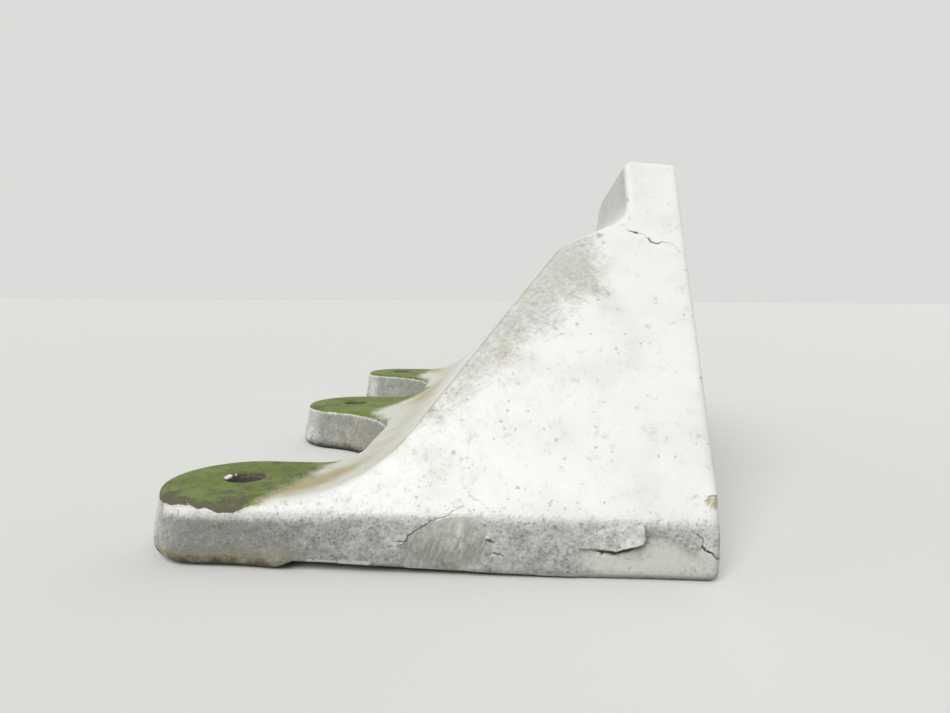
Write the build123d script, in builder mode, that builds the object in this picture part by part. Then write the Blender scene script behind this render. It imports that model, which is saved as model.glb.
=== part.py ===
"""Bumper block: a long wedge-shaped aluminium casting, bolted down by three ears along one side."""
import os
from math import cos, radians, tan

from build123d import *

# Sizes are in millimetres and angles in degrees.
# X runs from the ears to the flat bumping face, Y along the block from its near end to its far end,
# and Z up. The origin is on the middle bolt hole's axis, in the plane of the foot pads.

# Ears along the left side, and their bolt holes
ear_count = 3
ear_pitch = 80.0            # from one bolt hole to the next
ear_radius = 12.5           # of an ear's round tip, at its top face
ear_thickness = 10.6        # from the foot pads to the ears' top faces
ear_draft = 10.0            # slope that the casting mould gives the walls round the ears
hole_diameter = 6.5         # clearance for a quarter-inch bolt
hole_offset = 1.5           # the holes are drilled this far past the middle of the ears
hole_chamfer = 0.4

# Scallops between the ears
root_distance = 16.3        # from the hole line to the scallops' straight back wall
tight_radius = 6.0          # corner beside an ear's far side
flare_radius = 28.0         # long sweep into the next ear's near side

# Body
face_distance = 75.6        # from the hole line to the flat bumping face
slant_foot = 21.5           # where the slanted face would meet the plane of the ears' tops
slant_angle = 51.0          # slanted face, from horizontal
foot_radius = 25.4          # fillet between the ears' tops and the slanted face
shoulder_rise = 39.7        # shoulder's height over the ears' tops
shoulder_slope = 24.0       # top face, from horizontal
shoulder_radius = 5.0
end_lean = 31.2             # end faces, from vertical
end_drop = 1.4              # the end faces start this far below the ears' tops

# Lug that stands on the top face, along the bumping face
lug_thickness = 9.8
lug_height = 11.5           # lug's top over the top face, where the lug's side meets the near end
lug_length = 77.5           # from the near end of the base to the lug's far end
lug_fall = 4.4              # slope of the lug's top along the block
lug_tilt = 6.0              # slope of the lug's top across the block
lug_nose_radius = 13.0      # round far end of the lug
lug_foot_radius = 4.5       # fillet between the lug and the top face
lug_edge_radius = 1.5

# Underside
relief_start = 9.0          # from the hole line to the foot pads' inner edge
relief_step = 3.5           # width of the sloping step beside the pads
relief_depth = 1.65
relief_end = 59.0           # where the underside comes down to the pads' level again

# Rounded edges of the casting
rim_radius = 1.0            # round the end faces, the bumping face and the tops of the ears and scallops
base_radius = 1.5           # worn edges round the underside

# Sizes that follow
length = (ear_count - 1) * ear_pitch + 2 * ear_radius
ear_middles = [(i - (ear_count - 1) / 2) * ear_pitch - hole_offset for i in range(ear_count)]
near_end = ear_middles[0] - ear_radius
far_end = ear_middles[-1] + ear_radius
cut_margin = 4.0            # how far the cutting shapes run past the block
tip_reach = ear_radius + ear_thickness * tan(radians(ear_draft)) + cut_margin
shoulder_x = slant_foot + shoulder_rise / tan(radians(slant_angle))
shoulder_z = ear_thickness + shoulder_rise
lug_x = face_distance - lug_thickness
lug_z = shoulder_z + (lug_x - shoulder_x) * tan(radians(shoulder_slope)) + lug_height
lug_end = near_end + lug_length
roof_z = lug_z + cut_margin
lean_start = ear_thickness - end_drop
wall_lean = cut_margin * tan(radians(ear_draft))
fillet_start = slant_foot - foot_radius * tan(radians(slant_angle / 2))
near_enough = 0.02          # how closely an edge must lie where it is looked for


def nearest(vertices, *point):
    """The one of some vertices that lies nearest to a point."""
    return vertices.sort_by_distance(point)[0]


def top_height(x):
    """Height of the top face at a distance from the hole line."""
    return shoulder_z + (x - shoulder_x) * tan(radians(shoulder_slope))


def in_top_face(edge):
    """Whether an edge lies in the sloping top face."""
    return abs(edge.center().Z - top_height(edge.center().X)) < near_enough


def in_end_face(edge):
    """Whether an edge lies in one of the leaning end faces."""
    run = (edge.center().Z - lean_start) * tan(radians(end_lean))
    from_near_end = edge.center().Y - near_end - run
    from_far_end = far_end - run - edge.center().Y
    return min(abs(from_near_end), abs(from_far_end)) < near_enough


def is_lug_foot(edge):
    """Whether an edge runs round the lug's foot."""
    across = lug_x - near_enough < edge.center().X < face_distance - near_enough
    return across and in_top_face(edge) and not in_end_face(edge)


def is_rim(edge):
    """Whether an edge bounds an end face or the bumping face above the foot, or an ear's or scallop's top."""
    box = edge.bounding_box()
    if box.min.X > face_distance - near_enough:
        return box.max.Z > near_enough
    on_fillet_seam = abs(box.max.X - fillet_start) < near_enough
    if box.min.Z < ear_thickness - near_enough or edge.is_closed or on_fillet_seam:
        return False
    return in_end_face(edge) or box.max.X < root_distance + wall_lean


def is_worn_foot(edge):
    """Whether an edge goes round the flat underside."""
    return edge.bounding_box().max.Z < near_enough and not edge.is_closed


# End walls seen from the side: upright at the base, then leaning back
with BuildSketch(Plane.YZ) as side_view:
    lean_run = (roof_z - lean_start) * tan(radians(end_lean))
    with BuildLine():
        Polyline(
            (near_end, 0),
            (far_end, 0),
            (far_end, lean_start),
            (far_end - lean_run, roof_z),
            (near_end + lean_run, roof_z),
            (near_end, lean_start),
            close=True,
        )
    make_face()

# The plan of the ears and scallops, at the level of the ears' tops, drawn from the far end
with BuildSketch(Plane.XY.offset(ear_thickness)) as plan:
    inner_x = slant_foot + ear_radius
    flare_x = root_distance - flare_radius
    flare_reach = ear_radius + flare_radius
    flare_back = (flare_reach**2 - flare_x**2) ** 0.5
    with BuildLine():
        side = Line((inner_x, far_end), (0, far_end))
        outline_start = side @ 0
        for middle, next_middle in zip(ear_middles[:0:-1], ear_middles[-2::-1]):
            # An ear's round tip runs into the sweep, and that into the scallop's straight back wall
            share = ear_radius / flare_reach
            tip = TangentArc(side @ 1, (flare_x * share, middle - flare_back * share), tangent=side % 1)
            sweep_end = (root_distance, middle - flare_back)
            sweep_arc = TangentArc(tip @ 1, sweep_end, tangent=tip % 1)
            corner_start = (root_distance, next_middle + ear_radius + tight_radius)
            wall = Line(sweep_arc @ 1, corner_start)
            corner_end = (root_distance - tight_radius, next_middle + ear_radius)
            corner = TangentArc(wall @ 1, corner_end, tangent=wall % 1)
            side = Line(corner @ 1, (0, next_middle + ear_radius))
        tip = TangentArc(side @ 1, (0, near_end), tangent=side % 1)
        near_side = Line(tip @ 1, (inner_x, near_end))
        Line(near_side @ 1, outline_start)
    make_face()

# Space outside the ears, with drafted walls
with BuildPart() as surround:
    with BuildSketch(Plane.XY.offset(-cut_margin)):
        with Locations(((slant_foot - tip_reach) / 2, 0)):
            Rectangle(slant_foot + tip_reach, length + 2 * ear_radius)
    extrude(amount=ear_thickness + 2 * cut_margin)
    extrude(plan.sketch, amount=2 * cut_margin, taper=ear_draft, mode=Mode.SUBTRACT)
    extrude(plan.sketch, amount=-ear_thickness - 2 * cut_margin, taper=-ear_draft, mode=Mode.SUBTRACT)

with BuildPart() as bumper_block:
    # The section across the block, the same all along it
    with BuildSketch(Plane.XZ) as section:
        with BuildLine():
            Polyline(
                (-tip_reach, 0),
                (face_distance, 0),
                (face_distance, top_height(face_distance)),
                (shoulder_x, shoulder_z),
                (slant_foot, ear_thickness),
                (-tip_reach, ear_thickness),
                close=True,
            )
        make_face()
        fillet(nearest(section.vertices(), slant_foot, ear_thickness), foot_radius)
        fillet(nearest(section.vertices(), shoulder_x, shoulder_z), shoulder_radius)
    extrude(amount=length, both=True)

    # The lug, drawn from the side and pushed across the block
    with BuildSketch(Plane.YZ.offset(lug_x)) as lug_side:
        fall = tan(radians(lug_fall))
        top_y = near_end + (lug_z - lean_start) * tan(radians(end_lean))
        with BuildLine():
            Polyline(
                (near_end, shoulder_z - lug_foot_radius),
                (lug_end, shoulder_z - lug_foot_radius),
                (lug_end, lug_z - (lug_end - top_y) * fall),
                (near_end, lug_z + (top_y - near_end) * fall),
                close=True,
            )
        make_face()
        fillet(nearest(lug_side.vertices(), lug_end, lug_z), lug_nose_radius)
    extrude(amount=lug_thickness / cos(radians(lug_tilt)), dir=(1, 0, -tan(radians(lug_tilt))))

    # The end walls, and the drafted walls round the ears
    extrude(side_view.sketch, amount=2 * face_distance, both=True, mode=Mode.INTERSECT)
    add(surround.part, mode=Mode.SUBTRACT)

    # Bolt holes
    with Locations(*[(0, middle + hole_offset, ear_thickness) for middle in ear_middles]):
        Hole(hole_diameter / 2, depth=ear_thickness)

    # Rounded edges, the lug's first
    lug_side_edges = bumper_block.edges().filter_by_position(Axis.X, lug_x, lug_x)
    fillet(lug_side_edges.filter_by_position(Axis.Y, top_y, lug_end).sort_by(Axis.Z)[-2:], lug_edge_radius)
    fillet(bumper_block.edges().filter_by(is_lug_foot), lug_foot_radius)
    fillet(bumper_block.edges().filter_by(is_rim), rim_radius)
    fillet(bumper_block.edges().filter_by(is_worn_foot), base_radius)

    # The shallow relief under the body, deepest beside the foot pads
    with BuildSketch(Plane.XZ) as relief:
        with BuildLine():
            Polyline(
                (relief_start, 0),
                (relief_end, 0),
                (relief_start + relief_step, relief_depth),
                close=True,
            )
        make_face()
    extrude(amount=length, both=True, mode=Mode.SUBTRACT)

    # The bolt holes' rims
    hole_rims = bumper_block.edges().filter_by(lambda edge: edge.is_closed)
    chamfer(hole_rims, hole_chamfer)

bumper_block.part.label = "bumper_block"
os.makedirs("parts", exist_ok=True)
export_step(bumper_block.part, "parts/bumper_block.step")
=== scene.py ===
"""Looks of a cast bumper block: worn white enamel over green primer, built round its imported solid."""

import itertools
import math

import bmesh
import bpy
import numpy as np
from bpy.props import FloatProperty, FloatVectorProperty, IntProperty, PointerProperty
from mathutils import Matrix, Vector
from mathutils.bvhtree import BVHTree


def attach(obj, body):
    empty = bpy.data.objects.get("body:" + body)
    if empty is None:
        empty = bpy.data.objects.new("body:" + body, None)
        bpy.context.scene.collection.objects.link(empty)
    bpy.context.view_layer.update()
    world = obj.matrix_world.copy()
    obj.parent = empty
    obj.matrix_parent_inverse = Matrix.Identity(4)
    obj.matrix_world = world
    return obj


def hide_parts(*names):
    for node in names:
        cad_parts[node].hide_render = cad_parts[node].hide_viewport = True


bl_info = {
    "name": "Bumper block",
    "version": (1, 0, 0),
    "blender": (4, 5, 0),
    "location": "View3D > Sidebar > Bumper block",
    "description": "Dresses the bumper block's casting in worn enamel, cracks, flakes and primer",
    "category": "Object",
}

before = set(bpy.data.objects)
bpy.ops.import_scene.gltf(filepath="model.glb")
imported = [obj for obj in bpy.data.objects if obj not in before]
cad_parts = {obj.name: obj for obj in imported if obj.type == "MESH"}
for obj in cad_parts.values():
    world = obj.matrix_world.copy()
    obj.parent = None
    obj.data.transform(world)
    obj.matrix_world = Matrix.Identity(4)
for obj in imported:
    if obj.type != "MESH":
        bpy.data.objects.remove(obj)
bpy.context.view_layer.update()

NODE = "bumper_block"
MM = 0.001

# The casting's own sizes, in millimetres, as its solid has them. X runs from the ears to the bumping face,
# Y along the block from its near end, Z up from the foot pads.
EAR_MIDDLES = (-81.5, -1.5, 78.5)
EAR_RADIUS = 12.5
EAR_TOP = 10.6
HOLE_PITCH = 80.0
HOLE_RADIUS = 3.25
HOLE_OFFSET = 1.5
DRAFT = math.tan(math.radians(10.0))
NEAR_END = -94.0
LEAN_START = 9.2
LEAN = math.tan(math.radians(31.2))
ROOT_X = 16.3
TIGHT_RADIUS = 6.0
FLARE_RADIUS = 28.0
FOOT_RADIUS = 25.4
FOOT_START = 21.5 - FOOT_RADIUS * math.tan(math.radians(25.5))

# Cracks in the enamel, and painted shadows drawn like them, as (X, Z) on the near end, with half their width,
# their depth and the height of their lips in millimetres, and how dark they are
TOP_CRACK = ((61.7, 53.9), (63.4, 54.15), (65.1, 54.1), (65.4, 53.4), (67.5, 52.8), (68.5, 52.6),
             (68.7, 51.9), (69.7, 51.1), (70.4, 51.0), (71.4, 51.3), (73.2, 50.6), (74.0, 49.6), (75.8, 48.6))
PATCH_LEFT = ((27.6, 5.3), (29.5, 5.0), (30.0, 6.1), (31.8, 7.3), (33.7, 8.2), (36.8, 9.9), (38.0, 10.6))
PATCH_RIGHT = ((41.45, 6.1), (42.1, 5.55), (42.7, 5.3))
PATCH_FOOT = ((42.45, 3.95), (43.4, 3.7), (44.5, 3.6))
CORNER_CRACK = ((71.2, 7.9), (72.0, 7.2), (72.6, 6.6), (72.8, 5.8), (73.4, 5.1), (74.1, 4.75), (74.7, 3.9),
                (75.2, 3.5), (76.0, 3.45))
UPPER_HAIRLINE = ((37.0, 12.4), (38.2, 13.0), (39.5, 11.4), (41.0, 10.9), (42.3, 9.8))
SCRATCHES = (((54.5, 42.0), (58.3, 40.3)), ((57.4, 43.1), (61.1, 41.7)), ((47.5, 38.1), (52.3, 36.4)),
             ((56.0, 43.2), (57.6, 43.9)), ((50.4, 33.9), (53.6, 35.4)), ((45.2, 30.6), (47.4, 31.5)))
# Path of the painted shadow under the lifted flake's free edge
FLAKE_SHADE = ((57.5, 4.45), (59.4, 4.5), (60.2, 4.25), (62.2, 4.85), (64.1, 5.4), (64.5, 6.3))
CRACKS_AND_SHADOWS = (
    (TOP_CRACK, 0.07, 0.04, 0.01, 0.60),
    (((65.35, 53.35), (66.4, 53.05), (67.6, 52.75)), 0.10, 0.12, 0.02, 0.95),
    (((68.7, 51.9), (69.7, 51.1), (70.4, 51.0), (71.3, 51.3)), 0.13, 0.17, 0.02, 1.0),
    (PATCH_LEFT, 0.08, 0.08, 0.02, 0.50),
    (PATCH_LEFT[:4], 0.10, 0.12, 0.03, 0.80),
    (PATCH_RIGHT, 0.12, 0.14, 0.02, 0.90),
    (((41.5, 8.7), (42.1, 7.5), (41.5, 6.2)), 0.06, 0.04, 0.02, 0.30),
    (PATCH_FOOT, 0.12, 0.14, 0.02, 0.90),
    (((44.5, 3.6), (45.1, 4.85)), 0.06, 0.05, 0.02, 0.40),
    (CORNER_CRACK, 0.11, 0.20, 0.12, 0.75),
    (CORNER_CRACK[3:7], 0.14, 0.26, 0.08, 0.95),
    (((71.8, 2.7), (72.1, 1.7), (72.6, 1.0)), 0.06, 0.06, 0.0, 0.55),
    (UPPER_HAIRLINE, 0.05, 0.03, 0.02, 0.32),
    # Painted shadow under the flake's free edge, in the crack colour over a shallow groove
    (FLAKE_SHADE, 0.30, 0.24, 0.0, 1.0),
    # Painted shadow under the curled, broken edges of the middle patch
    (PATCH_LEFT[:3], 0.22, 0.0, 0.0, 0.60),
    (PATCH_RIGHT, 0.22, 0.0, 0.0, 0.85),
    (PATCH_FOOT, 0.22, 0.0, 0.0, 0.85),
)

# Where the top coat has come away, as closed (X, Z) outlines on the near end, each with the path beside which
# the coat breaks off sharply. Away from that path it thins out.
MIDDLE_PATCH = ((28.6, 4.2), (29.7, 5.1), (30.0, 6.1), (31.8, 7.3), (33.7, 8.2), (35.6, 8.9), (37.4, 9.2),
                (39.3, 9.2), (41.0, 8.9), (41.8, 7.8), (41.4, 6.2), (42.6, 5.35), (42.4, 3.7), (41.0, 1.8),
                (35.0, 0.6), (29.0, 1.4))
CORNER_PATCH = ((54.6, 4.2), (58.5, 6.0), (62.0, 7.0), (64.9, 6.6), (66.3, 7.0), (67.6, 6.6), (68.8, 6.5),
                (69.9, 5.8), (70.8, 5.0), (72.2, 5.1), (72.8, 5.6), (73.4, 5.1), (74.1, 4.75), (74.7, 3.9),
                (75.2, 3.5), (79.0, 3.4), (79.0, -2.0), (57.0, -2.0), (55.0, 0.6))
LOW_CHIP = ((73.3, 11.9), (74.3, 12.5), (77.0, 12.2), (78.0, 10.2), (75.3, 10.0), (74.5, 10.9))
HIGH_CHIP = ((75.0, 28.6), (77.0, 29.2), (77.0, 26.8), (75.4, 27.1))
PATCHES = (
    (MIDDLE_PATCH, PATCH_LEFT[1:4]),
    (MIDDLE_PATCH, PATCH_RIGHT + PATCH_FOOT[:1]),
    (CORNER_PATCH, CORNER_CRACK[4:]),
    (CORNER_PATCH, ((57.0, 5.6), (64.5, 6.9))),
    (LOW_CHIP, LOW_CHIP + LOW_CHIP[:1]),
    (HIGH_CHIP, HIGH_CHIP + HIGH_CHIP[:1]),
)
PATCH_DEPTH = 0.13
PALE_STREAK = ((37.8, 8.0), (37.75, 5.0))

# The flake of enamel that still hangs over the corner patch: its root and its free edge on the near end, and
# how far that edge has lifted
FLAKE_ROOT = ((54.9, 6.4), (58.0, 8.6), (61.0, 9.3), (64.9, 8.9))
FLAKE_EDGE = ((55.2, 4.9), (57.2, 4.75), (59.4, 4.9), (60.2, 4.75), (62.2, 5.45), (64.2, 6.1), (64.5, 6.9))
FLAKE_LIFT = 1.05

# Rubbed paint on the left of the near end face, greyed partly as painted shade, as a closed (X, Z) outline
RUBBED_AND_SHADED = ((61.0, 54.5), (60.6, 51.6), (61.6, 48.1), (61.8, 41.3), (58.6, 40.0), (55.3, 38.4), (56.0, 36.2),
          (49.7, 32.6), (43.2, 25.0), (33.0, 17.0), (14.0, 10.5), (0.0, 14.0), (0.0, 70.0), (56.0, 70.0))

# Tan spots on the near end, as X, Z, radius and strength
SPOTS = ((55.9, 36.9, 0.40, 0.8), (69.2, 40.9, 0.65, 0.5), (67.4, 36.7, 0.55, 0.5), (62.2, 29.5, 0.40, 0.5),
         (66.2, 34.1, 0.35, 0.4), (65.9, 59.4, 0.40, 1.0), (66.0, 57.0, 0.25, 0.7), (65.9, 55.5, 0.30, 0.7),
         (60.4, 52.3, 0.55, 1.0), (61.2, 51.0, 0.40, 0.7), (59.8, 33.0, 0.5, 0.35), (62.6, 32.1, 0.45, 0.3),
         (61.2, 32.4, 0.4, 0.3), (33.2, 15.0, 0.45, 0.5), (32.0, 14.2, 0.35, 0.5), (74.4, 16.3, 0.35, 0.4),
         (29.4, 12.6, 0.35, 0.6), (44.0, 10.4, 0.4, 0.6), (60.2, 9.2, 0.5, 0.7), (66.4, 9.0, 0.4, 0.7),
         (50.2, 9.0, 0.35, 0.7), (57.6, 8.4, 0.4, 0.6), (73.0, 9.4, 0.35, 0.6), (75.2, 11.4, 0.9, 0.9),
         (74.2, 12.0, 0.5, 0.9))

# Bare primer on the three ears, as closed (X, Y) outlines, and the line down to which it wraps over the near
# ear's rounded edge, as (X, Z)
PRIMER = (
    ((-18, -98), (4.5, -98), (6.0, -94.5), (6.8, -91.5), (7.6, -88.5), (8.6, -84.5), (10.2, -80.0),
     (10.9, -77.0), (11.4, -73.0), (12.4, -68.5), (13.0, -60.0), (-18, -60)),
    ((-18, -24), (4.0, -24.0), (10.5, -28.0), (14.5, -33.0), (15.2, -31.0), (11.5, -23.0), (8.6, -17.0),
     (9.4, -11.0), (11.8, -5.0), (14.0, 1.0), (16.5, 7.0), (18.5, 14.0), (18.5, 24.0), (-18, 24)),
    ((-18, 55), (4.0, 57.0), (10.0, 53.0), (14.2, 48.0), (15.0, 50.0), (11.5, 58.0), (9.4, 64.0), (9.6, 70.0),
     (10.6, 76.0), (11.0, 82.0), (11.0, 96.0), (-18, 96)),
)
PRIMER_FRONT = ((-12, 9.2), (-6.7, 9.25), (-5.2, 9.6), (-3.2, 9.75), (-1.8, 9.35), (-0.5, 9.5), (0.5, 9.15),
                (1.4, 8.85), (3.6, 8.8), (4.4, 9.2), (5.4, 9.7), (6.5, 10.1), (7.6, 10.4))
# Grease on the primer, as X, Y, radius and strength
GREASE = ((-7.8, -90.7, 2.0, 0.95), (-5.4, -92.6, 1.5, 0.8), (-1.7, -93.6, 1.2, 0.8), (2.0, -92.9, 2.0, 1.0),
          (4.4, -92.3, 1.7, 0.90), (0.9, -88.6, 1.7, 0.70), (3.0, -87.0, 1.9, 0.65), (6.0, -90.8, 1.6, 0.70),
          (7.0, -86.6, 1.6, 0.60), (5.4, -83.6, 1.5, 0.55), (8.4, -83.0, 1.8, 0.60), (7.0, -79.4, 1.9, 0.62),
          (9.6, -78.4, 2.2, 0.66), (5.6, -76.0, 1.8, 0.60), (10.6, -74.4, 1.8, 0.60), (-3.9, -76.0, 1.0, 0.6),
          (-8.7, -10.0, 1.6, 1.0), (-6.8, -7.8, 1.5, 0.9), (-4.9, -5.4, 1.7, 0.85), (-7.2, -1.6, 1.5, 0.8),
          (-4.0, 3.3, 1.9, 0.85), (0.6, 5.2, 1.6, 0.7), (4.4, 3.0, 1.8, 0.75), (5.2, -2.6, 1.5, 0.7),
          (8.3, 2.4, 2.0, 0.6), (11.0, -2.6, 1.6, 0.5), (12.0, -10.0, 1.5, 0.4), (13.0, 6.5, 2.0, 0.6),
          (0.5, 79.9, 4.8, 1.0), (6.9, 74.0, 2.4, 0.8), (-3.2, 72.8, 2.0, 0.7))
# Tan stain along the foot of the fillet, as X, Y and strength
STAIN = ((7.6, -89.2, 0.5), (9.6, -86.4, 1.0), (13.4, -82.4, 0.95), (17.0, -79.0, 0.75), (20.0, -73.0, 0.50),
         (21.0, -60.0, 0.40), (22.0, -40.0, 0.38), (22.0, -20.0, 0.50), (20.0, -4.0, 0.90), (20.5, 8.0, 0.8),
         (22.0, 25.0, 0.45), (21.5, 50.0, 0.35), (18.0, 70.0, 0.55), (12.5, 86.0, 0.95))

# The finishes that lie on the casting, each with where it lies stored under its name on the mesh
FIELDS = ("primer", "grease", "stain", "aged", "grime", "film_and_shade", "rubbed_and_shaded", "peel", "brushed", "crack", "spots",
          "metal", "speckle", "coarse")
# Distances, in millimetres, that stand for well outside a finish's border and for well inside it
OUTSIDE = -5.0
NOT_RUBBED_OR_SHADED = -9.0
INSIDE = 5.0

# How deep the CAD mesh's facets lie under its round surfaces at most, and how near to a crack or a patch's
# edge the mesh is cut finer, in millimetres
FACET_DEPTH = 0.06
FINE_REACH = 0.7
# How many times the mesh is evened out: all over, along the near end's crease and at its ear's lower edge
SKIN_ROUNDS = 3
CREASE_ROUNDS = 45
WORN_EDGE_ROUNDS = 120

# The lifted flake's mesh, and its thickness in millimetres at its root
FLAKE_COLUMNS = 90
FLAKE_ROWS = 26
FLAKE_THICKNESS = 0.15

# The photograph's camera, worked out from the block's own lines and holes: its place in metres, its yaw,
# pitch and roll in radians, and its lens and the width of its frame in millimetres
CAMERA_PLACE = (0.04496, -0.18795, 0.04136)
CAMERA_TURN = (-0.0548, 0.0906, -0.0057)
LENS = 25.0
FRAME_WIDTH = 36
# Half the side of the studio's square floor, in metres
FLOOR_REACH = 6.0


def linear(hex_colour):
    """Linear red, green, blue and alpha of an sRGB hex colour."""
    channels = [int(hex_colour[i:i + 2], 16) / 255 for i in (1, 3, 5)]
    return [c / 12.92 if c <= 0.04045 else ((c + 0.055) / 1.055) ** 2.4 for c in channels] + [1.0]


def colour(name, description, hex_colour):
    """A colour property with its default given as sRGB hex."""
    return FloatVectorProperty(name=name, description=description, subtype="COLOR", size=4, min=0, max=1,
                               default=linear(hex_colour))


class CastingSizes(bpy.types.PropertyGroup):
    """How finely the casting is meshed and how uneven its surface is."""

    grain: FloatProperty(name="Grain", description="Pitch of the mesh that the casting is cut into",
                         default=0.35 * MM, min=0.1 * MM, unit="LENGTH", precision=5)
    triangles: IntProperty(name="Triangles", description="Most triangles that the finished casting may have",
                           default=192000, min=20000)
    waviness: FloatProperty(name="Waviness", description="Height of the slow waves of a sand casting, in mm",
                            default=0.09, min=0)
    lumps: FloatProperty(name="Lumps", description="Height of the lumps on the upright walls, in mm",
                         default=0.075, min=0)


class PaintColours(bpy.types.PropertyGroup):
    """Colours of the enamel, the primer under it and what has settled on them."""

    enamel: colour("Enamel", "White top coat", "#f3f3f0")
    dull: colour("Dull enamel", "Top coat where it is a little greyer", "#eaeae5")
    aged: colour("Aged enamel", "Top coat where it has yellowed", "#d2d3c3")
    # Also the colour of the painted shade on the upright walls
    film_and_shade: colour("Dirt film", "Grey film worked into the upright walls", "#8f9089")
    # Also the colour of the painted shade on the left of the near end
    rubbed_and_shaded: colour("Rubbed enamel", "Top coat rubbed thin", "#bfc1b7")
    speck: colour("Speck", "Specks of dirt in the top coat", "#8c8b77")
    stain: colour("Stain", "Tan stain along the fillets", "#b0a47c")
    primer: colour("Primer", "Chromate primer on the ears", "#5f7321")
    pale_primer: colour("Pale primer", "Chromate primer where it is rubbed", "#72863d")
    grease: colour("Grease", "Grey-brown grease on the primer", "#544e3d")
    # Also the colour of the painted shade inside the holes
    grime: colour("Grime", "Brown-black grime in corners", "#4a3f28")
    bare: colour("Undercoat", "Smooth undercoat where the top coat is gone", "#e4e6da")
    # Also the colour of the painted shadows under the flake and beside broken edges
    crack: colour("Crack", "Inside of the cracks", "#75633f")
    metal: colour("Bare metal", "Aluminium where all paint is gone", "#d6d4cc")
    floor: colour("Floor", "Studio floor", "#e4e4e1")
    floor_return: colour("Floor's return", "What the floor throws back up on the block", "#6a6a68")
    backdrop: colour("Backdrop", "Pale surround behind the block", "#dcdcda")


class StudioLight(bpy.types.PropertyGroup):
    """Strengths of the studio's soft lights."""

    key: FloatProperty(name="Key", description="Soft light from above and in front", default=2.5, min=0)
    back: FloatProperty(name="Back", description="Soft light from behind", default=0.75, min=0)
    side: FloatProperty(name="Side", description="Low soft light from the ears' side", default=0.30, min=0)
    around: FloatProperty(name="Around", description="Even light from all round", default=0.20, min=0)


def lattice_noise(points, period, seed):
    """Smooth noise from -1 to 1, with lumps about one period wide."""
    cell = np.floor(points / period)
    part = points / period - cell
    ease = part * part * (3 - 2 * part)
    cell = cell.astype(np.int64)
    total = np.zeros(len(points))
    for corner in itertools.product((0, 1), repeat=3):
        key = (cell + corner) * (73856093, 19349663, 83492791)
        mixed = key[:, 0] ^ key[:, 1] ^ key[:, 2] ^ (seed * 2654435761)
        mixed = (mixed ^ (mixed >> 13)) * 1274126177 & 0xFFFFFFFF
        value = ((mixed ^ (mixed >> 16)) & 0xFFFF) / 32767.5 - 1
        total += value * np.prod(np.where(corner, ease, 1 - ease), axis=1)
    return total


def rise(low, high, value):
    """0 below low, 1 above high, and a smooth rise between them."""
    share = np.clip((value - low) / (high - low), 0, 1)
    return share * share * (3 - 2 * share)


def fall(low, high, value):
    """1 below low, 0 above high, and a smooth fall between them."""
    return 1 - rise(low, high, value)


def bell(value, width):
    """1 at zero, falling away evenly on both sides within about a width."""
    return np.exp(-(value / width) ** 2)


def path_stops(path):
    """How far along a path of straight runs each of its points lies, as a share of its length."""
    lengths = np.hypot(*np.diff(np.array(path, float), axis=0).T)
    return np.concatenate([[0], np.cumsum(lengths)]) / lengths.sum()


def along_path(points, path):
    """Each flat point's distance from a path of straight runs, its share along it, and its side of it."""
    best = np.full(len(points), np.inf)
    share = np.zeros(len(points))
    side = np.zeros(len(points))
    runs = np.diff(np.array(path, float), axis=0)
    passed = path_stops(path)
    for i, (start, run) in enumerate(zip(path[:-1], runs)):
        offset = points - start
        part = np.clip((offset @ run) / (run @ run), 0, 1)
        distance = np.hypot(*(offset - part[:, None] * run).T)
        nearer = distance < best
        best[nearer] = distance[nearer]
        share[nearer] = (passed[i] + part * (passed[i + 1] - passed[i]))[nearer]
        side[nearer] = np.sign(run[0] * offset[:, 1] - run[1] * offset[:, 0])[nearer]
    return best, share, side


def crack_taper(share):
    """How wide a crack is at a share along it: full in the middle and narrow at both ends."""
    return np.sqrt(np.clip(4 * share * (1 - share), 0.02, 1))


def depth_inside(points, outline):
    """Distance inside a closed outline, negative outside."""
    inside = np.zeros(len(points), bool)
    for (x1, y1), (x2, y2) in zip(outline, outline[1:] + outline[:1]):
        crosses = (y1 > points[:, 1]) != (y2 > points[:, 1])
        reach = (x2 - x1) * (points[:, 1] - y1) / (y2 - y1 if y2 != y1 else 1) + x1
        inside ^= crosses & (points[:, 0] < reach)
    away = along_path(points, outline + outline[:1])[0]
    return np.where(inside, away, -away)


def ragged(points, amount=1.0):
    """Flat points moved a little, so that an outline drawn through a few of them breaks like paint."""
    deep = np.column_stack([points, np.zeros(len(points))])
    shift = [0.24 * lattice_noise(deep, 1.3, seed) + 0.13 * lattice_noise(deep, 0.45, seed + 1)
             for seed in (5, 9)]
    return points + amount * np.column_stack(shift)


def near_end_share(places, normals):
    """1 on the upright and leaning faces of the near end, 0 away from them."""
    lean = NEAR_END + np.maximum(places[:, 2] - LEAN_START, 0) * LEAN
    return (places[:, 1] < lean + 1.2) * rise(0.25, 0.6, -normals[:, 1])


def upright_share(normals):
    """1 on upright walls, 0 on faces that look up or down or lean back."""
    return rise(0.88, 0.98, np.hypot(normals[:, 0], normals[:, 1]))


def snap_round(places, centre, axes, radius, draft, low, high):
    """Move points that lie within the faceting of a round surface on to the true round surface."""
    first, second, third = axes
    across = places[:, [first, second]] - centre
    distance = np.hypot(*across.T)
    wanted = radius + draft * (EAR_TOP - places[:, third])
    near = np.abs(distance - wanted) < FACET_DEPTH
    near &= np.all((places > low) & (places < high), axis=1)
    scale = np.where(near, wanted / np.maximum(distance, 1e-6), 1)
    places[:, [first, second]] = centre + across * scale[:, None]


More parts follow.
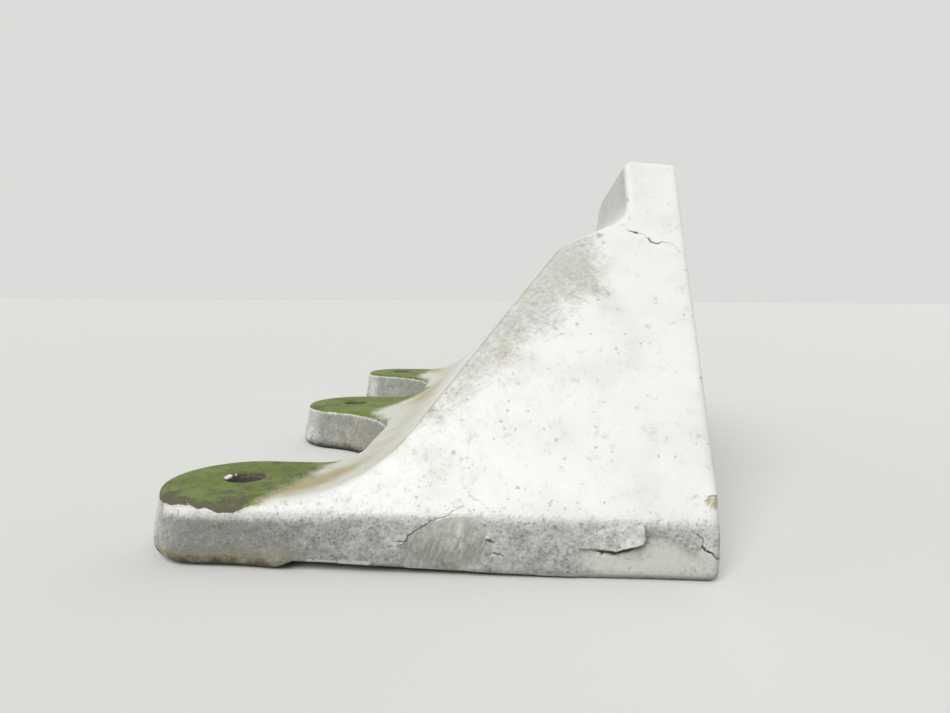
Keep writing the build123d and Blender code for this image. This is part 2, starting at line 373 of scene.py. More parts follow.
def snap_all(places):
    """Take the facets out of the casting's round surfaces."""
    everywhere = np.array([-100.0, -100.0, -10.0]), np.array([100.0, 100.0, 90.0])
    flare_x = ROOT_X - FLARE_RADIUS
    flare_back = math.sqrt((EAR_RADIUS + FLARE_RADIUS) ** 2 - flare_x ** 2)
    for middle in EAR_MIDDLES:
        snap_round(places, (0, middle), (0, 1, 2), EAR_RADIUS, DRAFT, (-20, -95, 0), (0.5, 95, EAR_TOP))
        snap_round(places, (0, middle + HOLE_OFFSET), (0, 1, 2), HOLE_RADIUS, 0, *everywhere)
    for middle in EAR_MIDDLES[1:]:
        centre = (flare_x, middle - flare_back)
        snap_round(places, centre, (0, 1, 2), FLARE_RADIUS, -DRAFT, (-6, centre[1], 0), (17, middle, EAR_TOP))
    for middle in EAR_MIDDLES[:-1]:
        centre = (ROOT_X - TIGHT_RADIUS, middle + EAR_RADIUS + TIGHT_RADIUS)
        low = (centre[0], middle + EAR_RADIUS - 2, 0)
        snap_round(places, centre, (0, 1, 2), TIGHT_RADIUS, -DRAFT, low, (18, centre[1], EAR_TOP))
    foot_centre = (FOOT_START, EAR_TOP + FOOT_RADIUS)
    snap_round(places, foot_centre, (0, 2, 1), FOOT_RADIUS, 0, (FOOT_START, -100, EAR_TOP), (29.2, 100, 21))


def vertex_array(mesh, name):
    """One three-number property of all a mesh's vertices."""
    values = np.empty(len(mesh.vertices) * 3, np.float32)
    mesh.vertices.foreach_get(name, values)
    return values.reshape(-1, 3).astype(float)


def edge_array(mesh):
    """The two vertices of each of a mesh's edges."""
    ends = np.empty(len(mesh.edges) * 2, np.int32)
    mesh.edges.foreach_get("vertices", ends)
    return ends.reshape(-1, 2)


def new_object(name, data):
    """A new object of the scene that holds some data."""
    item = bpy.data.objects.new(name, data)
    bpy.context.scene.collection.objects.link(item)
    return item


def set_places(mesh, places):
    """Put a mesh's vertices at places given in millimetres."""
    mesh.vertices.foreach_set("co", (places * MM).astype(np.float32).ravel())
    mesh.update()


def dense_copy(node, pitch):
    """An even mesh of a CAD node's surface, with its vertices' places in millimetres."""
    welded = bmesh.new()
    welded.from_mesh(node.data)
    bmesh.ops.remove_doubles(welded, verts=welded.verts, dist=MM / 1000)
    surface = BVHTree.FromBMesh(welded)
    mesh = bpy.data.meshes.new("casting_blank")
    welded.to_mesh(mesh)
    welded.free()
    blank = new_object("casting_blank", mesh)
    remesh = blank.modifiers.new("even", "REMESH")
    remesh.mode = "VOXEL"
    remesh.voxel_size = pitch
    depsgraph = bpy.context.evaluated_depsgraph_get()
    even = bpy.data.meshes.new_from_object(blank.evaluated_get(depsgraph))
    bpy.data.objects.remove(blank)
    places = vertex_array(even, "co")
    places = np.array([surface.find_nearest(place)[0] for place in places]) / MM
    snap_all(places)
    return even, places


def relax(mesh, places, share, rounds):
    """Even out a mesh's places, each moving its share of half way to the middle of its neighbours'."""
    active = np.flatnonzero(share > 0.002)
    number = np.full(len(places), -1)
    number[active] = np.arange(len(active))
    first, second = edge_array(mesh).T
    first, second = np.concatenate([first, second]), np.concatenate([second, first])
    used = number[first] >= 0
    first, second = number[first[used]], second[used]
    count = np.bincount(first, minlength=len(active))[:, None]
    step = 0.5 * share[active][:, None]
    for _ in range(rounds):
        total = [np.bincount(first, places[second, axis], len(active)) for axis in range(3)]
        middle = np.column_stack(total) / count
        places[active] += step * (middle - places[active])


def refine(mesh, places):
    """Cut the faces near the cracks and patch edges into nine, so that they can hold a sharp step."""
    normals = vertex_array(mesh, "normal")
    on_end = np.flatnonzero(near_end_share(places, normals) > 0.1)
    flat = places[on_end][:, [0, 2]]
    paths = [crack[0] for crack in CRACKS_AND_SHADOWS] + [patch[0] + patch[0][:1] for patch in PATCHES] + list(SCRATCHES)
    away = np.min([along_path(flat, path)[0] for path in paths], axis=0)
    close = np.zeros(len(places), bool)
    close[on_end[away < FINE_REACH]] = True
    chosen = np.flatnonzero(close[edge_array(mesh)].all(axis=1))
    fine = bmesh.new()
    fine.from_mesh(mesh)
    fine.edges.ensure_lookup_table()
    bmesh.ops.subdivide_edges(fine, edges=[fine.edges[i] for i in chosen], cuts=2, use_grid_fill=True)
    bmesh.ops.triangulate(fine, faces=fine.faces)
    fine.to_mesh(mesh)
    fine.free()


def lump_noise(places):
    """Uneven skin of a sand casting, from -1 to 1."""
    return 0.5 * lattice_noise(places, 1.5, 3) + 0.5 * lattice_noise(places, 0.85, 4)


def patch_depth(flat, patch, broken):
    """Distance inside a peeled patch, stretched where its edge thins out instead of breaking off."""
    soft = rise(0.5, 1.6, along_path(flat, broken)[0])
    return depth_inside(flat, patch) / (1 + 12 * soft), soft


def carve(places, normals):
    """How far each point of the casting stands out from its true surface, in millimetres."""
    sizes = bpy.context.scene.bumper_casting
    out = sizes.waviness * lattice_noise(places, 17, 1)
    out += 0.3 * sizes.waviness * lattice_noise(places, 6, 2)
    skin = sizes.lumps * lump_noise(places) * (0.22 + 0.78 * upright_share(normals))
    on_end = near_end_share(places, normals)
    near = on_end > 0.05
    plain = places[near][:, [0, 2]]
    flat = ragged(plain)
    step = np.zeros(near.sum())
    smooth = np.zeros(near.sum())
    for path in SCRATCHES:
        step -= 0.03 * bell(along_path(plain, path)[0], 0.07)
    sunk = np.zeros(near.sum())
    for patch in PATCHES:
        inside, soft = patch_depth(flat, *patch)
        sunk = np.maximum(sunk, rise(-0.06, 0.08, inside))
        smooth = np.maximum(smooth, rise(-0.02, 0.10, inside))
        # The top coat curls up a little beside its broken edge
        step += 0.07 * rise(-1.0, -0.12, inside) * (inside < -0.04) * (1 - soft)
    step -= PATCH_DEPTH * sunk
    for path, width, depth, lip, _ in CRACKS_AND_SHADOWS:
        away, share, side = along_path(flat, path)
        taper = crack_taper(share)
        step += lip * bell(away, 0.5) * (0.7 + 0.3 * side) - (lip + depth) * bell(away, width * taper) * taper
    skin[near] *= 1 - 0.85 * smooth
    out[near] += step * on_end[near]
    return out + skin


def finish_fields(places, normals, on_flake):
    """Where each finish lies, as numbers that the paint's material reads: distances in mm or shares."""
    x, y, z = places.T
    flat = places[:, [0, 2]]
    plan = places[:, :2]
    count = len(places)
    on_end = near_end_share(places, normals)
    upright = np.maximum(upright_share(normals), 0.85 * on_flake)

    # Bare primer on the ears' tops and under the block
    primer = np.full(count, OUTSIDE)
    top = (z > EAR_TOP - 4) & (z < EAR_TOP + 3) & (x < 22)
    jagged = ragged(plan[top], 1.6)
    primer[top] = np.max([depth_inside(jagged, outline) for outline in PRIMER], axis=0)
    # The primer's border is worn and soft on an ear's side towards the body, and elsewhere keeps to the top
    primer = np.where(x > 4.5, primer / (1 + 16 * rise(4.5, 8.5, x)), primer)
    uneven = 0.14 * lattice_noise(places, 1.0, 41) + 0.10 * lattice_noise(places, 0.45, 42)
    front = (y < EAR_MIDDLES[0]) & (z > EAR_TOP - 4)
    primer = np.where(front, primer, np.minimum(primer, (z - EAR_TOP + 0.7 + uneven) * 2.5))
    inland = np.where(x < 0, EAR_RADIUS - np.hypot(x, y - EAR_MIDDLES[0]), y - NEAR_END)
    border = np.interp(x, *np.array(PRIMER_FRONT).T) + uneven
    primer = np.where(front, np.minimum(primer, (z - border) + np.maximum(inland - 1.0, 0)), primer)
    primer[(normals[:, 2] < -0.8) & (z < 2.5)] = INSIDE

    # Tan stain along the foot of the body's fillet
    stain = np.zeros(count)
    side = (z > EAR_TOP - 0.8) & (z < EAR_TOP + 12) & (x < 32)
    path = [point[:2] for point in STAIN]
    away, share, _ = along_path(plan[side], path)
    strength = np.interp(share, path_stops(path), [point[2] for point in STAIN])
    fan = along_path(plan[side], ((8.5, -85.5), (11.5, -82.5), (15.5, -79.5)))[0]
    fringe = along_path(plan[side], ((2.6, -95.6), (5.2, -93.4), (7.2, -90.0), (8.8, -86.0)))[0]
    behind = y - NEAR_END - np.maximum(z - LEAN_START, 0) * LEAN
    foot_stain = np.maximum(strength * bell(away, 4.2), bell(fan, 4.4)) * rise(-1.2, 2.2, behind[side])
    stain[side] = np.maximum(foot_stain, 0.95 * bell(fringe, 2.5) * rise(-3.0, 0.4, behind[side]))
    # A tan tint over the slanted side, strongest beside the near end's edge
    slanted = (normals[:, 0] < -0.45) & (z > 14) & (x < 60)
    stain = np.maximum(stain, (0.05 + 0.50 * fall(1, 9, behind)) * slanted * rise(14, 18, z))
    # The primer's broken border on the near ear has rusted a little
    rusted = 0.45 + 0.55 * lattice_noise(places, 2.2, 43)
    stain = np.maximum(stain, rusted * bell(primer + 0.2, 0.22) * (y < NEAR_END + 10) * (x < 8))
    # Grease on the primer: in a few thick patches, and along its border
    border_grease = 0.40 + 0.60 * fall(0.3, 1.7, primer) * fall(3.5, 6.5, x)
    grease = np.where(y < NEAR_END + 34, border_grease, 0.28)
    for patch_x, patch_y, radius, strength in GREASE:
        away = np.hypot(x - patch_x, y - patch_y)
        grease = np.maximum(grease, 1.15 * strength * bell(away, 1.15 * radius))
    aged = fall(22, 34, x) * (z > EAR_TOP - 0.8) * rise(-0.5, 4.5, behind) * fall(16, 26, z)

    # Grime at the foot of the walls, and rusty dust above it on the near ear
    grime = fall(0.0, 3.4, z) * (0.20 + 0.80 * fall(8, 12, x)) * (normals[:, 2] > -0.95)
    stain = np.maximum(stain, 0.62 * fall(1.0, 5.0, z) * fall(9, 15, x) * (y < NEAR_END + 6))

    # Grey dirt film with painted shade on the upright walls: the near end's foot below its crease is painted
    # darker than the leaning face as painted shade, most towards its ear; it is also a little darker towards
    # the floor, and the ears' rounded tips are painted lighter as painted light
    turn = LEAN_START - 0.9 * fall(12, 26, x)
    crease = fall(turn - 1.3, turn + 0.8, z)
    film_and_shade = 0.92 - 0.42 * rise(-2, 38, x) - 0.35 * fall(-12, -4, x) + 0.12 * fall(1.5, 5, z)
    film_and_shade = film_and_shade * crease * upright * (y < NEAR_END + 4)
    between_ears = fall(EAR_TOP - 1.6, EAR_TOP - 0.3, z) * fall(18.5, 34, x) * (y > NEAR_END + 3)
    # The other ears' walls get the film with painted shade too, painted lighter on their rounded tips
    film_and_shade = np.maximum(film_and_shade, (0.36 + 0.48 * rise(-11.5, -5, x)) * between_ears)
    film_and_shade = film_and_shade - 0.16 * lump_noise(places) * (film_and_shade > 0.02)
    stain = np.maximum(stain, 0.27 * between_ears)

    rubbed_and_shaded = np.full(count, NOT_RUBBED_OR_SHADED)
    peel = np.full(count, OUTSIDE)
    brushed = np.zeros(count)
    crack = np.zeros(count)
    spots = np.zeros(count)
    near = on_end > 0.05
    around = ragged(flat[near])
    near_x, near_z = x[near], z[near]
    # The rubbed zone, greyed partly as painted shade, and its tan haze fade out towards the crease
    fade = rise(10, 16, near_z)
    inside_rubbed_and_shaded = depth_inside(around, RUBBED_AND_SHADED)
    rubbed_and_shaded[near] = np.minimum(inside_rubbed_and_shaded, 4.5) * fade - 3.8 * fall(15, 46, near_z)
    haze = 0.20 * fade * rise(-7, 2, inside_rubbed_and_shaded) * fall(47, 53, near_z)
    stain[near] = np.maximum(stain[near], haze)
    peel[near] = np.max([patch_depth(around, *patch)[0] for patch in PATCHES], axis=0)
    # The film and its painted shade lie thin where the coat is gone, but for the middle patch's foot,
    # where brush marks show
    gone = rise(-0.05, 0.25, peel[near]) * (not on_flake)
    in_middle = gone * fall(41, 45, near_x)
    brushed[near] = in_middle * (0.35 + 0.65 * fall(4.0, 7.5, near_z))
    film_and_shade[near] -= gone * (0.20 * rise(3, 8, near_z) - 0.12 + 0.60 * rise(44, 60, near_x)) * crease[near]
    # The lower left of the end is made a little greyer
    film_and_shade[near] += 0.15 * fall(22, 58, near_x + 0.6 * near_z) * (1 - crease[near])
    film_and_shade[near] -= 0.45 * bell(along_path(around, PALE_STREAK)[0], 0.35)
    # Painted shadow of the flake's free corner on the bare patch beside it
    film_and_shade[near] += 0.45 * bell(along_path(flat[near], ((64.95, 7.6), (64.9, 6.0), (63.4, 4.9)))[0], 0.42)
    for path, width, _, _, shade in CRACKS_AND_SHADOWS:
        away, share, _ = along_path(around, path)
        taper = crack_taper(share)
        crack[near] = np.maximum(crack[near], bell(away, 1.1 * width * taper) * shade)
    for path in SCRATCHES:
        crack[near] = np.maximum(crack[near], 0.38 * bell(along_path(flat[near], path)[0], 0.08))
    for spot_x, spot_z, radius, strength in SPOTS:
        away = np.hypot(around[:, 0] - spot_x, around[:, 1] - spot_z)
        spots[near] = np.maximum(spots[near], strength * bell(away, radius))

    # Bare metal where an edge has rubbed through: the holes' rims and the step under the near end
    metal = np.zeros(count)
    for i in (-1, 0, 1):
        along = y - i * HOLE_PITCH
        gap = np.hypot(x, along)
        ring = rise(3.1, 3.35, gap) * fall(3.6, 3.95, gap) * (z > EAR_TOP - 0.9)
        worn = np.where(x < 0, 0.55 * bell(along - 0.4, 1.3), 0.26 * bell(along, 1.6))
        metal = np.maximum(metal, ring * (0.50 + worn if i < 0 else 0.40))
        # Painted shade inside the holes, in the grime colour
        grime = np.maximum(grime, (gap < 3.4) * (z < EAR_TOP - 0.5) * 1.2)
    edge = along_path(flat, ((11.0, 0.3), (13.0, 1.2), (15.0, 1.7), (18.0, 1.8), (24.0, 1.7)))[0]
    metal = np.maximum(metal, bell(edge, 0.6) * (y < NEAR_END + 3))

    scattered = 0.06 + 0.86 * fall(20, 78, x + 0.8 * (z - 10))
    speckle = on_end * np.maximum(scattered, 0.9 * crease * (x > 5)) * (1 - 0.8 * rise(46, 52, z))
    return dict(zip(FIELDS, (primer, grease, stain, aged, grime, film_and_shade, rubbed_and_shaded, peel, brushed, crack, spots,
                             metal, speckle, upright)))


def write_fields(mesh, fixed):
    """Store where each finish lies on a mesh's vertices, some of them at one fixed value on the flake."""
    places = vertex_array(mesh, "co") / MM
    normals = vertex_array(mesh, "normal")
    for name, values in finish_fields(places, normals, bool(fixed)).items():
        values = np.full(len(places), fixed[name]) if name in fixed else values
        layer = mesh.attributes.get(name) or mesh.attributes.new(name, "FLOAT", "POINT")
        layer.data.foreach_set("value", values.astype(np.float32))


def empty_tree(owner):
    """The node tree of a material or a world, with nothing in it yet."""
    owner.use_nodes = True
    owner.node_tree.nodes.clear()
    return owner.node_tree


def add(tree, kind, inputs=(), **settings):
    """Add a shader node to a tree, with its settings, and set its inputs, by name or in order, to values,
    sockets or other nodes' first outputs."""
    node = tree.nodes.new("ShaderNode" + kind)
    for name, value in settings.items():
        setattr(node, name, value)
    for socket, value in inputs.items() if isinstance(inputs, dict) else enumerate(inputs):
        if isinstance(value, bpy.types.Node):
            value = value.outputs[0]
        if isinstance(value, bpy.types.NodeSocket):
            tree.links.new(value, node.inputs[socket])
        else:
            node.inputs[socket].default_value = value
    return node


def enamel_material():
    """Two-coat enamel over chromate primer on a sand casting: matt white, thick enough to crack and flake."""
    paints = bpy.context.scene.bumper_paint
    material = bpy.data.materials.new("worn_enamel_on_casting")
    tree = empty_tree(material)
    place = add(tree, "TexCoord").outputs["Object"]

    # The noises, each with the width of its lumps in millimetres and its detail. Some are drawn out over the
    # near end, at an angle in degrees and by a number of widths. Moulding sand's grains and a brush's hairs
    # are about 0.2 mm wide and too fine to show, so the pinholes and brush marks are twice as coarse.
    noises = {}
    for name, width, detail, angle, length in (
        ("cloud", 9.0, 2.0, 0, 1), ("blotch", 2.6, 3.0, 0, 1), ("grain", 0.75, 2.0, 0, 1),
        ("pinhole", 0.46, 1.0, 0, 1), ("drift", 0.40, 2.0, 0, 1), ("brush", 0.45, 2.0, 23, 10),
        ("scratch", 0.40, 2.0, 115, 12), ("cross", 0.40, 2.0, 58, 9),
    ):
        vector = place
        if length > 1:
            inputs = {"Vector": place, "Rotation": (0, math.radians(angle), 0), "Scale": (1, 1, length)}
            vector = add(tree, "Mapping", inputs, vector_type="TEXTURE")
        inputs = {"Vector": vector, "Scale": 1 / (width * MM), "Detail": detail, "Roughness": 0.6}
        noises[name] = add(tree, "TexNoise", inputs)
    levels = {name: noise.outputs["Fac"] for name, noise in noises.items()}
    for name in FIELDS:
        levels[name] = add(tree, "Attribute", attribute_name=name).outputs["Fac"]

    def cover(name, low, high, **weights):
        """Smooth share from 0 to 1 of a finish or a noise: its level, made uneven by weighted noises and
        taken from low to high."""
        level = levels[name]
        for noise, weight in weights.items():
            swing = add(tree, "Math", (levels[noise], 0.5), operation="SUBTRACT")
            level = add(tree, "Math", (swing, weight, level), operation="MULTIPLY_ADD")
        inputs = {"Value": level, "From Min": low, "From Max": high}
        return add(tree, "MapRange", inputs, interpolation_type="SMOOTHSTEP")

    def product(first, *factors):
        """Shares and numbers multiplied together, in their order."""
        for factor in factors:
            first = add(tree, "Math", (first, factor), operation="MULTIPLY")
        return first

    # Specks of dirt: small cells, some of which hold a speck, each with its own size and a ragged outline. A
    # row of the loop holds the cells' pitch in millimetres, how many are filled and a speck's size in cells.
    drift = (noises["drift"].outputs["Color"], (0.8 * MM,) * 3)
    drift = add(tree, "VectorMath", drift, operation="MULTIPLY")
    moved = add(tree, "VectorMath", (place, drift), operation="ADD")
    gathered = product(cover("cloud", 0.38, 0.60), levels["speckle"])
    specks = 0.0
    for pitch, amount, size in ((2.4, 0.3, 0.13), (1.3, 1.5, 0.27), (0.8, 2.4, 0.38)):
        cells = add(tree, "TexVoronoi", {"Vector": moved, "Scale": 1 / (pitch * MM)})
        parts = add(tree, "SeparateColor", (cells.outputs["Color"],)).outputs
        radius = product(add(tree, "Math", (parts[1], 1.4), operation="POWER"), size)
        inside = add(tree, "Math", (radius, cells.outputs["Distance"]), operation="SUBTRACT")
        inputs = {"Value": inside, "From Min": -0.10, "From Max": 0.14}
        inside = add(tree, "MapRange", inputs, interpolation_type="SMOOTHSTEP")
        held = add(tree, "Math", (parts[0], product(gathered, amount)), operation="LESS_THAN")
        specks = add(tree, "Math", (product(inside, held, parts[2]), specks), operation="MAXIMUM")
    dust = product(cover("grain", 0.50, 0.80), levels["speckle"], 0.22)
    specks = add(tree, "Math", (specks, dust), operation="MAXIMUM")

    primer = cover("primer", -0.12, 0.12, grain=0.15, pinhole=0.06)
    grease = cover("grease", 0.28, 0.85, blotch=1.5, grain=1.1, pinhole=0.7)
    peeled = cover("peel", -0.03, 0.03, pinhole=0.04)
    # Pits gather in some parts of the upright walls, and are nearly filled where the smooth undercoat is bare
    unfilled = add(tree, "Math", (1.0, product(peeled, 0.8)), operation="SUBTRACT")
    pits = product(cover("pinhole", 0.58, 0.72), levels["coarse"], cover("blotch", 0.32, 0.60), 0.40)
    pits = product(pits, unfilled)
    rubbed_and_shaded = cover("rubbed_and_shaded", -0.8, 4.2, blotch=4.0, grain=3.0, cross=3.4, scratch=2.8)
    mottle = add(tree, "Math", (cover("grain", 0.3, 0.7), 0.26, 0.52), operation="MULTIPLY_ADD")
    mottle = add(tree, "Math", (cover("cross", 0.35, 0.65), 0.24, mottle), operation="MULTIPLY_ADD")
    # What lies on the enamel, from the bottom up: its colour, where it lies and its roughness
    layers = (
        ("aged", product(cover("aged", 0.0, 1.0, cloud=0.6), 0.85), 0.45),
        # Rubbed paint, greyed partly as painted shade
        ("rubbed_and_shaded", product(rubbed_and_shaded, mottle), 0.52),
        ("bare", peeled, 0.40),
        ("film_and_shade", product(levels["brushed"], cover("brush", 0.44, 0.62), 0.80), 0.45),
        # Dirt film with painted shade on the upright walls
        ("film_and_shade", cover("film_and_shade", 0.02, 1.02, blotch=0.45, grain=0.45, pinhole=0.50), 0.60),
        ("stain", cover("stain", 0.05, 1.05, cloud=0.7, blotch=0.5, grain=0.15), 0.55),
        ("speck", product(specks, 0.60), 0.60),
        ("grease", pits, 0.70),
        ("stain", product(cover("spots", 0.12, 0.9, grain=0.8, pinhole=0.8), 0.75), 0.60),
        ("primer", primer, 0.62),
        ("pale_primer", product(cover("cloud", 0.42, 0.62), primer, 0.6), 0.55),
        ("grease", product(grease, primer, 0.9), 0.70),
        ("dull", product(cover("pinhole", 0.70, 0.78), primer, 0.5), 0.60),
        # Grime, and painted shade inside the holes
        ("grime", product(cover("grime", 0.14, 1.0, blotch=1.4, grain=0.7), 0.85), 0.80),
        # Cracks, and painted shadows under the flake and beside broken edges
        ("crack", cover("crack", 0.08, 0.95, pinhole=0.15), 0.85),
        ("metal", cover("metal", 0.62, 0.92, grain=1.2, pinhole=0.5), 0.28),
    )
    # The white enamel itself is a little uneven in tone
    inputs = {0: cover("cloud", 0.35, 0.75), 6: paints.enamel, 7: paints.dull}
    colour_now = add(tree, "Mix", inputs, data_type="RGBA").outputs[2]
    rough_now = add(tree, "MapRange", {"Value": levels["blotch"], "To Min": 0.36, "To Max": 0.50})
    for name, share, rough in layers:
        inputs = {0: share, 6: colour_now, 7: getattr(paints, name)}
        colour_now = add(tree, "Mix", inputs, data_type="RGBA").outputs[2]
        rough_now = add(tree, "Mix", {0: share, 2: rough_now, 3: rough})

    # Relief too fine for the mesh: the sand's grain on upright walls, orange peel in the enamel elsewhere,
    # brush marks in the undercoat, and fine scratches where the enamel is rubbed
    sandy = add(tree, "Math", (levels["grain"], 0.9, levels["pinhole"]), operation="MULTIPLY_ADD")
    depth = add(tree, "MapRange", {"Value": levels["coarse"], "To Min": 0.020, "To Max": 0.085})
    coat = add(tree, "Math", (1.0, peeled), operation="SUBTRACT")
    height = product(sandy, depth, add(tree, "Math", (coat, 0.15), operation="MAXIMUM"))
    marks = product(levels["brush"], levels["brushed"], 0.05)
    rubs = add(tree, "Math", (levels["cross"], levels["scratch"]), operation="ADD")
    for relief in (marks, product(rubs, cover("rubbed_and_shaded", -1.0, 2.0), 0.022)):
        height = add(tree, "Math", (height, relief), operation="ADD")
    bump = add(tree, "Bump", {"Height": height, "Strength": 1.0, "Distance": MM})
    inputs = {"Base Color": colour_now, "Roughness": rough_now, "Metallic": layers[-1][1], "Normal": bump}
    shader = add(tree, "BsdfPrincipled", inputs)
    add(tree, "OutputMaterial", {"Surface": shader})
    return material


def material_named(name, make):
    """The material of that name, made the first time it is asked for."""
    return bpy.data.materials.get(name) or make()


def finish_piece(piece, **fixed):
    """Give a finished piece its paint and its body."""
    write_fields(piece.data, fixed)
    piece.data.materials.clear()
    piece.data.materials.append(material_named("worn_enamel_on_casting", enamel_material))
    piece.data.shade_smooth()
    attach(piece, "root")


class BUMPER_OT_casting(bpy.types.Operator):
    """Carve the casting's worn surface, with its cracks and peeled patches."""

    bl_idname = "bumper.casting"
    bl_label = "Casting"

    def execute(self, context):
        sizes = context.scene.bumper_casting
        mesh, places = dense_copy(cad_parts[NODE], sizes.grain)
        x, y, z = places.T
        relax(mesh, places, np.ones(len(places)), SKIN_ROUNDS)
        # The turn from the near end's upright foot to its leaning face, and on to its ear, is a soft one
        crease = bell(z - LEAN_START - 0.5, 1.7) * fall(NEAR_END + 2, NEAR_END + 5, y)
        relax(mesh, places, crease, CREASE_ROUNDS)
        # The near ear's lower edge is worn round
        worn = fall(0.4, 4.0, z) * fall(3, 11, x) * (y < NEAR_END + 18)
        relax(mesh, places, worn, WORN_EDGE_ROUNDS)
        set_places(mesh, places)
        refine(mesh, places)
        places = vertex_array(mesh, "co") / MM
        normals = vertex_array(mesh, "normal")
        set_places(mesh, places + normals * carve(places, normals)[:, None])
        casting = new_object("worn_casting", mesh)
        # What the photograph shows closely keeps its fine mesh, and the rest is thinned
        keep = casting.vertex_groups.new(name="keep")
        x, y, z = places.T
        first_ear_top = (y < NEAR_END + 20) & (x < 16) & (z > EAR_TOP - 1.5)
        # The other ears' tops and edges, on the side that faces the near end
        to_middle = y - EAR_MIDDLES[1] - HOLE_PITCH * (y > EAR_MIDDLES[1] + HOLE_PITCH / 2)
        other_tops = (x < 18) & (z > EAR_TOP - 2.2) & (z < EAR_TOP + 0.6)
        other_tops &= (to_middle > -34) & (to_middle < -4)
        lug_side = (normals[:, 0] < -0.8) & (z > 50) & (y < -50)
        kept = (near_end_share(places, normals) > 0.1) | first_ear_top | other_tops | lug_side
        keep.add(np.flatnonzero(kept).tolist(), 1.0, "REPLACE")
        thin = casting.modifiers.new("thin", "DECIMATE")
        thin.vertex_group = "keep"
        thin.invert_vertex_group = True
        thin.vertex_group_factor = 1.0
        triangle_count = sum(len(face.vertices) - 2 for face in mesh.polygons)
        thin.ratio = min(1.0, sizes.triangles / triangle_count)
        thin.use_collapse_triangulate = True
        depsgraph = context.evaluated_depsgraph_get()
        thinned = bpy.data.meshes.new_from_object(casting.evaluated_get(depsgraph))
        casting.modifiers.clear()
        casting.vertex_groups.clear()
        casting.data = thinned
        finish_piece(casting)
        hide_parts(NODE)
        return {"FINISHED"}


class BUMPER_OT_flake(bpy.types.Operator):
    """Bend the flake of enamel that hangs over the bare corner."""

    bl_idname = "bumper.flake"
    bl_label = "Lifted flake"

    def execute(self, context):
        columns, rows = FLAKE_COLUMNS, FLAKE_ROWS
        root, edge = np.array(FLAKE_ROOT), np.array(FLAKE_EDGE)
        x = np.linspace(edge[0, 0], edge[-1, 0], columns)
        edge_z = np.interp(x, edge[:, 0], edge[:, 1])
        fine = np.column_stack([x, edge_z, np.zeros(columns)])
        edge_z = edge_z + 0.10 * lattice_noise(fine, 0.5, 31) + 0.10 * lattice_noise(fine, 1.1, 32)
        root_z = np.interp(x, root[:, 0], root[:, 1])
        down = np.linspace(0, 1, rows)[:, None]
        z = root_z + (edge_z - root_z) * down
        x = np.broadcast_to(x, z.shape)
        lift = FLAKE_LIFT * (0.12 + 0.88 * rise(56.5, 63.5, x)) * down ** 1.7
        lean = np.maximum(z - LEAN_START, 0) * LEAN
        wall = np.column_stack([x.ravel(), np.full(z.size, NEAR_END), z.ravel()])
        skin = context.scene.bumper_casting.lumps * lump_noise(wall).reshape(z.shape)
        lobes = 0.10 * lattice_noise(wall, 2.2, 33).reshape(z.shape) * down
        sunk = 0.26 * fall(0, 0.42, down)
        front = NEAR_END + lean - lift - skin - lobes - 0.03 + sunk
        back = front + FLAKE_THICKNESS * (1 - 0.55 * down ** 3)
        outer = np.column_stack([x.ravel(), front.ravel(), z.ravel()])
        inner = np.column_stack([x.ravel(), back.ravel(), z.ravel() - 0.02])
        flake = bmesh.new()
        vertices = [flake.verts.new(place * MM) for place in np.concatenate([outer, inner])]
        size = rows * columns

        def corner(row, column, layer):
            """The vertex at a row and a column of the flake's outer layer, 0, or its inner one, 1."""
            return vertices[layer * size + row * columns + column]

        for row, column in itertools.product(range(rows - 1), range(columns - 1)):
            ring = ((row, column), (row, column + 1), (row + 1, column + 1), (row + 1, column))
            flake.faces.new([corner(*spot, 0) for spot in ring[::-1]])
            flake.faces.new([corner(*spot, 1) for spot in ring])
        rim = [(0, i) for i in range(columns)] + [(i, columns - 1) for i in range(1, rows)]
        rim += [(rows - 1, i) for i in range(columns - 2, -1, -1)] + [(i, 0) for i in range(rows - 2, 0, -1)]
        for spot, following in zip(rim, rim[1:] + rim[:1]):
            ring = ((*spot, 0), (*following, 0), (*following, 1), (*spot, 1))
            flake.faces.new([corner(*vertex) for vertex in ring])
        bmesh.ops.recalc_face_normals(flake, faces=flake.faces)
        mesh = bpy.data.meshes.new("lifted_flake")
        flake.to_mesh(mesh)
        flake.free()
        piece = new_object("lifted_flake", mesh)
        finish_piece(piece, peel=OUTSIDE, brushed=0.0, crack=0.0, grime=0.0, metal=0.0)
        return {"FINISHED"}


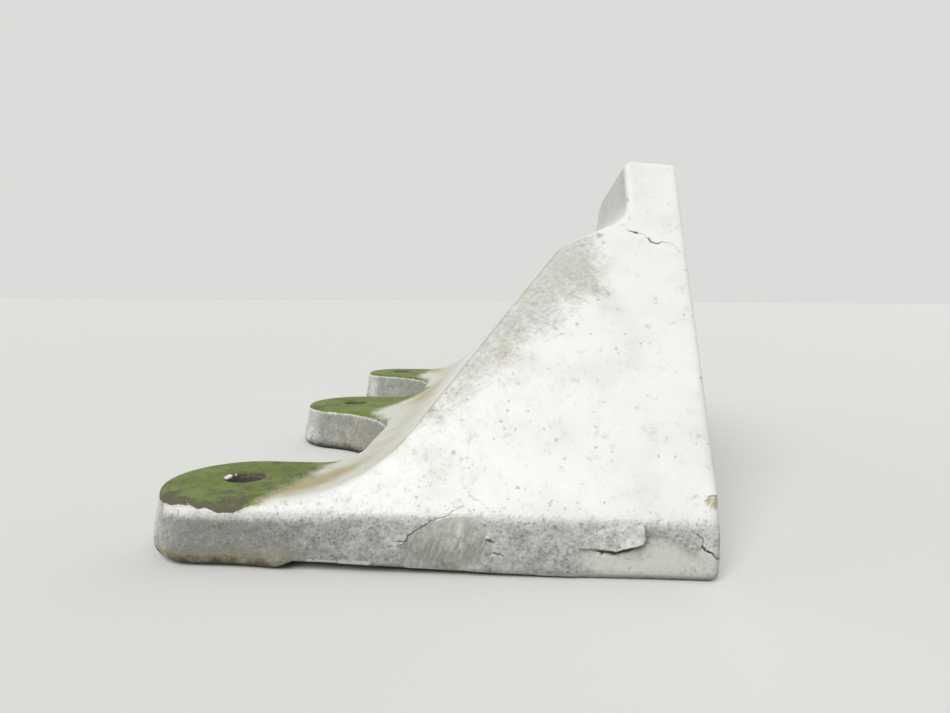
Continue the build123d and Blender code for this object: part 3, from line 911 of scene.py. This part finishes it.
class BUMPER_OT_studio(bpy.types.Operator):
    """Set the floor, the soft lights and the camera."""

    bl_idname = "bumper.studio"
    bl_label = "Studio"

    def execute(self, context):
        scene = context.scene
        light = scene.bumper_light
        scene.view_settings.view_transform = "Standard"
        reach = FLOOR_REACH
        mesh = bpy.data.meshes.new("floor")
        corners = [(-reach, -reach, 0), (reach, -reach, 0), (reach, reach, 0), (-reach, reach, 0)]
        mesh.from_pydata(corners, [], [(0, 1, 2, 3)])
        floor = new_object("floor", mesh)
        mesh.materials.append(material_named("studio_floor", floor_material))
        # Each lamp's strength, the direction that its light comes from, and its spread in degrees
        for name, strength, towards, spread in (
            ("key", light.key, (-0.24, -0.66, 0.71), 40),
            ("back", light.back, (0.60, 0.62, 0.50), 70),
            ("side", light.side, (-0.93, 0.10, 0.35), 70),
        ):
            lamp = bpy.data.lights.new(name, "SUN")
            lamp.energy = strength
            lamp.angle = math.radians(spread)
            holder = new_object(name, lamp)
            holder.rotation_euler = Vector(towards).to_track_quat("Z", "Y").to_euler()
        # The surround lights the block evenly, and looks pale wherever it is seen
        world = bpy.data.worlds.new("surround")
        tree = empty_tree(world)
        rays = add(tree, "LightPath").outputs
        seen = rays["Is Camera Ray"]
        for ray in ("Is Glossy Ray", "Is Transmission Ray"):
            seen = add(tree, "Math", (seen, rays[ray]), operation="MAXIMUM")
        lit = add(tree, "Background", {"Color": (1, 1, 1, 1), "Strength": light.around})
        shown = add(tree, "Background", {"Color": scene.bumper_paint.backdrop, "Strength": 1.0})
        both = add(tree, "MixShader", (seen, lit, shown))
        add(tree, "OutputWorld", {"Surface": both})
        scene.world = world
        place_camera(scene)
        return {"FINISHED"}


def floor_material():
    """Matt pale paper. It looks pale, but throws less light back up than it seems to."""
    paints = bpy.context.scene.bumper_paint
    material = bpy.data.materials.new("studio_floor")
    tree = empty_tree(material)
    rays = add(tree, "LightPath")
    inputs = {0: rays.outputs["Is Diffuse Ray"], 6: paints.floor, 7: paints.floor_return}
    mix = add(tree, "Mix", inputs, data_type="RGBA")
    shader = add(tree, "BsdfPrincipled", {"Base Color": mix.outputs[2], "Roughness": 0.9})
    add(tree, "OutputMaterial", {"Surface": shader})
    return material


def place_camera(scene):
    """Set the photograph's viewpoint."""
    camera = bpy.data.cameras.new("camera")
    camera.sensor_width = FRAME_WIDTH
    camera.lens = LENS
    camera.clip_start = 0.01
    holder = new_object("camera", camera)
    yaw, pitch, roll = CAMERA_TURN
    ahead = Vector((math.sin(yaw) * math.cos(pitch), math.cos(yaw) * math.cos(pitch), -math.sin(pitch)))
    turn = ahead.to_track_quat("-Z", "Y").to_matrix().to_4x4()
    holder.rotation_euler = turn.to_euler()
    holder.rotation_euler.rotate_axis("Z", -roll)
    holder.location = CAMERA_PLACE
    scene.camera = holder


class BUMPER_PT_panel(bpy.types.Panel):
    """Lists the pieces, the stage and their settings."""

    bl_label = "Bumper block"
    bl_space_type = "VIEW_3D"
    bl_region_type = "UI"
    bl_category = "Bumper block"

    def draw(self, context):
        for operator in OPERATORS:
            self.layout.operator(operator.bl_idname)
        for name, group in GROUPS:
            box = self.layout.box()
            for setting in group.__annotations__:
                box.prop(getattr(context.scene, name), setting)


OPERATORS = (BUMPER_OT_casting, BUMPER_OT_flake, BUMPER_OT_studio)
CLASSES = (CastingSizes, PaintColours, StudioLight, *OPERATORS, BUMPER_PT_panel)
GROUPS = (("bumper_casting", CastingSizes), ("bumper_paint", PaintColours), ("bumper_light", StudioLight))


def register():
    for item in CLASSES:
        bpy.utils.register_class(item)
    for name, group in GROUPS:
        setattr(bpy.types.Scene, name, PointerProperty(type=group))


def unregister():
    for name, _ in GROUPS:
        delattr(bpy.types.Scene, name)
    for item in reversed(CLASSES):
        bpy.utils.unregister_class(item)


def main():
    register()
    bpy.ops.bumper.casting()
    bpy.ops.bumper.flake()
    bpy.ops.bumper.studio()


if __name__ == "__main__":
    main()
